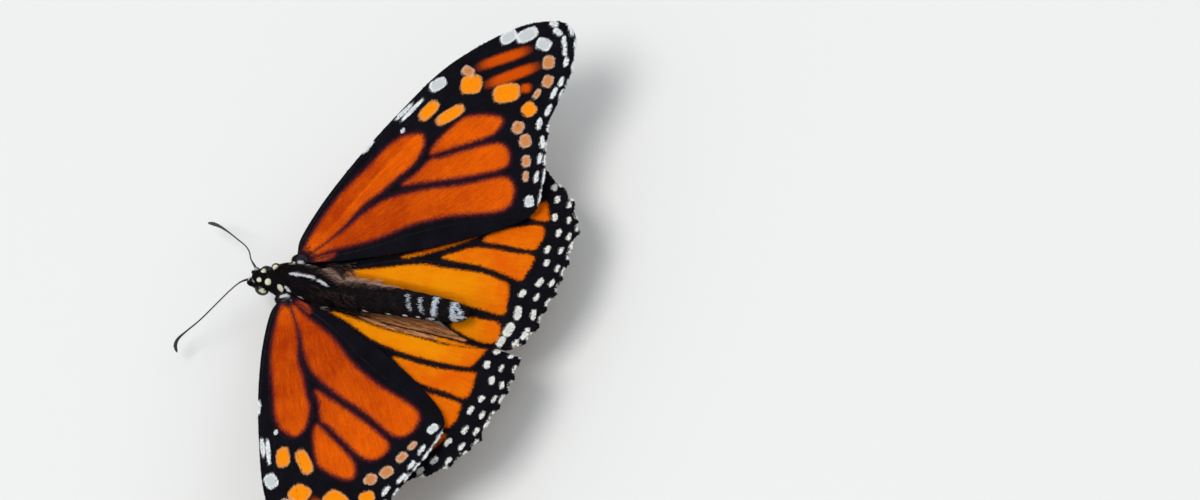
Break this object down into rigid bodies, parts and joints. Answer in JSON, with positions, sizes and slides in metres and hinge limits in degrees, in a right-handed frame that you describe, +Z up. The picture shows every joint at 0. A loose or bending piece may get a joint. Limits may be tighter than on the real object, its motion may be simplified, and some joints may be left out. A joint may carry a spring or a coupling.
{
  "type": "monarch butterfly",
  "caption": "Life-size still model of a monarch butterfly standing with its orange, black-veined wings spread and swept back, as a display piece.",
  "frame": {"origin": "on the floor under the centre of the whole insect's box, wings, feelers and feet included", "axes": "+Z up, -Y the way the head faces, +X towards the insect's own left wing; X is the wing span"},
  "size_m": [0.0878, 0.061, 0.0173],
  "materials": {
    "forewing_scales": "matt overlapping scales, orange cells between black veins, white and peach spots in the black tip and border",
    "hindwing_scales": "matt overlapping scales, amber cells between black veins, two rows of white spots in the black border",
    "body_hair": "short black hair and scales with white spots on the head and thorax and bluish bands on the abdomen",
    "limb_chitin": "semi-matt black chitin under fine scales",
    "eye_black": "glossy dark compound eye",
    "proboscis_chitin": "smooth dark brown coiled tube"
  },
  "bodies": {
    "root": {"head": "body_hair", "thorax": "body_hair", "abdomen": "body_hair", "eye_left": "eye_black", "palp_left": "body_hair", "antenna_left": "limb_chitin", "foreleg_left": "body_hair", "midleg_left": "limb_chitin", "hindleg_left": "limb_chitin", "forewing_left": "forewing_scales", "hindwing_left": "hindwing_scales", "eye_right": "eye_black", "palp_right": "body_hair", "antenna_right": "limb_chitin", "foreleg_right": "body_hair", "midleg_right": "limb_chitin", "hindleg_right": "limb_chitin", "forewing_right": "forewing_scales", "hindwing_right": "hindwing_scales", "proboscis": "proboscis_chitin"}
  },
  "joints": []
}
